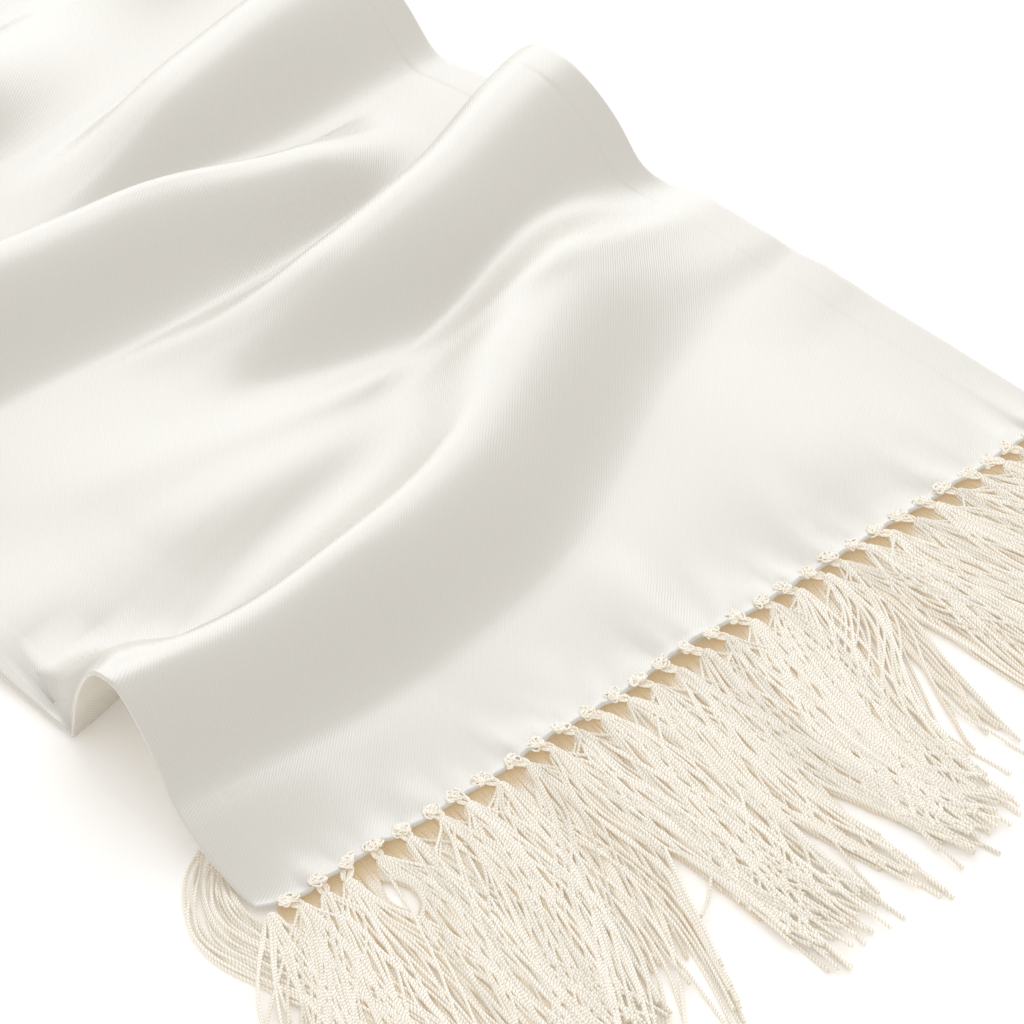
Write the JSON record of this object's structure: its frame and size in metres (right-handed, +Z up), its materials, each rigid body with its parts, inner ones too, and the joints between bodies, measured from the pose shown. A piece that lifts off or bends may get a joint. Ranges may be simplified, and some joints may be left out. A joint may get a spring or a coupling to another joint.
{
  "type": "tuxedo scarf",
  "caption": "Ivory silk formal scarf with knotted fringe at both ends, laid flat in loose diagonal folds.",
  "frame": {"origin": "on the surface the scarf lies on, under the middle of its length and width", "axes": "+X across the scarf, +Y along it away from the fringed end that shows best, +Z up"},
  "size_m": [0.32, 1.678, 0.0283],
  "materials": {
    "silk": "soft sheen, fine diagonal twill",
    "cord": "soft lustre, twisted cord"
  },
  "bodies": {
    "root": {"upper_panel": "silk", "lower_panel": "silk", "knots_near": "cord", "knots_far": "cord", "fringe_near": "cord", "fringe_far": "cord"}
  },
  "joints": []
}
